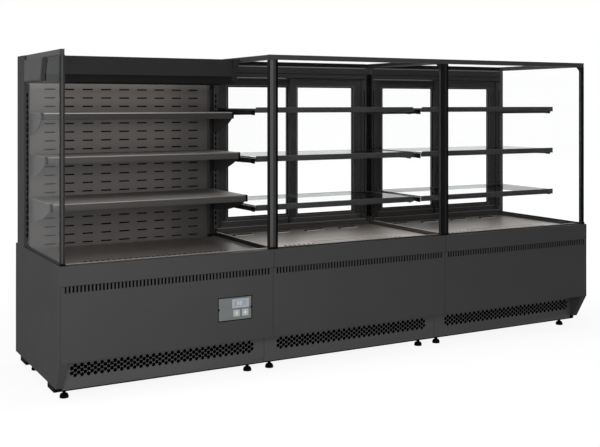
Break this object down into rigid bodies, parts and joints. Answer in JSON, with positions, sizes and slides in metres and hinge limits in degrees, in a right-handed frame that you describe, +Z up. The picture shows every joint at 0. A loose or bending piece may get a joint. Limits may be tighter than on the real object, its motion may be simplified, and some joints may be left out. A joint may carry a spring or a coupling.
{
  "type": "open multideck display fridge",
  "caption": "Refrigerated display line-up: an open multideck bay with canopy and shelves, joined to glazed bays with glass shelves and sliding rear doors",
  "frame": {"origin": "on the floor under the middle of the line-up, at the bottom centre of its bounding box", "axes": "+X along the length, to the right seen from the customer's side; +Y from the customer's side to the rear; +Z up"},
  "size_m": [2.7, 0.732, 1.355],
  "materials": {
    "chassis": "black paint, semi-matte",
    "casing": "charcoal powder coat, satin",
    "frame": "near-black powder coat, satin",
    "liner": "warm grey coated steel, satin",
    "lamp": "opal diffuser",
    "glass": "clear toughened glass",
    "controller": "moulded grey plastic",
    "button": "moulded dark grey plastic",
    "compressor": "black enamel",
    "coil": "plain finned aluminium",
    "fan": "black moulded plastic"
  },
  "bodies": {
    "cabinet": {"front_chassis_rail": "chassis", "rear_chassis_rail": "chassis", "base_shell": "casing", "side_panel_left": "casing", "side_panel_right": "casing", "upper_fascia": "casing", "front_panel_1": "casing", "front_panel_2": "casing", "front_panel_3": "casing", "kick_grille_1": "casing", "kick_grille_2": "casing", "kick_grille_3": "casing", "insulated_tank": "liner", "insulated_rear_wall": "liner", "slotted_back_panel": "liner", "deck_tray_1": "liner", "deck_tray_2": "liner", "deck_tray_3": "liner", "shelf_1_1": "liner", "shelf_1_2": "liner", "shelf_1_3": "liner", "canopy": "frame", "top_front_rail": "frame", "side_frame_0": "frame", "side_frame_1": "frame", "side_frame_2": "frame", "side_frame_3": "frame", "canopy_lamp": "lamp", "side_glass_0": "glass", "side_glass_1": "glass", "side_glass_2": "glass", "side_glass_3": "glass", "front_glass_2": "glass", "top_glass_2": "glass", "door_frame_2": "frame", "glass_shelf_2_1": "glass", "glass_shelf_2_2": "glass", "glass_shelf_2_3": "glass", "front_glass_3": "glass", "top_glass_3": "glass", "door_frame_3": "frame", "glass_shelf_3_1": "glass", "glass_shelf_3_2": "glass", "glass_shelf_3_3": "glass", "controller_plate": "controller", "compressor": "compressor", "condenser": "coil", "evaporator": "coil"},
    "rear_door_2_left": {"door_leaf_2_left": "frame", "door_glass_2_left": "glass"},
    "rear_door_2_right": {"door_leaf_2_right": "frame", "door_glass_2_right": "glass"},
    "rear_door_3_left": {"door_leaf_3_left": "frame", "door_glass_3_left": "glass"},
    "rear_door_3_right": {"door_leaf_3_right": "frame", "door_glass_3_right": "glass"},
    "set_key": {"set_button": "button"},
    "light_key": {"light_button": "button"},
    "condenser_impeller": {"condenser_fan": "fan"},
    "evaporator_impeller": {"evaporator_fan": "fan"}
  },
  "joints": [
    {"name": "rear_door_2_left_slide", "type": "slide", "parent": "cabinet", "child": "rear_door_2_left", "axis": [1, 0, 0], "range_m": [0, 0.37]},
    {"name": "rear_door_2_right_slide", "type": "slide", "parent": "cabinet", "child": "rear_door_2_right", "axis": [-1, 0, 0], "range_m": [0, 0.37]},
    {"name": "rear_door_3_left_slide", "type": "slide", "parent": "cabinet", "child": "rear_door_3_left", "axis": [1, 0, 0], "range_m": [0, 0.37]},
    {"name": "rear_door_3_right_slide", "type": "slide", "parent": "cabinet", "child": "rear_door_3_right", "axis": [-1, 0, 0], "range_m": [0, 0.37]},
    {"name": "set_key_press", "type": "slide", "parent": "cabinet", "child": "set_key", "axis": [0, 1, 0], "range_m": [0, 0.001], "stiffness_N_per_m": 500, "springref_m": -0.003},
    {"name": "light_key_press", "type": "slide", "parent": "cabinet", "child": "light_key", "axis": [0, 1, 0], "range_m": [0, 0.001], "stiffness_N_per_m": 500, "springref_m": -0.003},
    {"name": "condenser_fan_spin", "type": "hinge", "parent": "cabinet", "child": "condenser_impeller", "pos_m": [-1.1, -0.173, 0.1836], "axis": [0, 1, 0], "continuous": true},
    {"name": "evaporator_fan_spin", "type": "hinge", "parent": "cabinet", "child": "evaporator_impeller", "pos_m": [-0.91, 0.0407, 0.456], "axis": [0, 1, 0], "continuous": true}
  ]
}
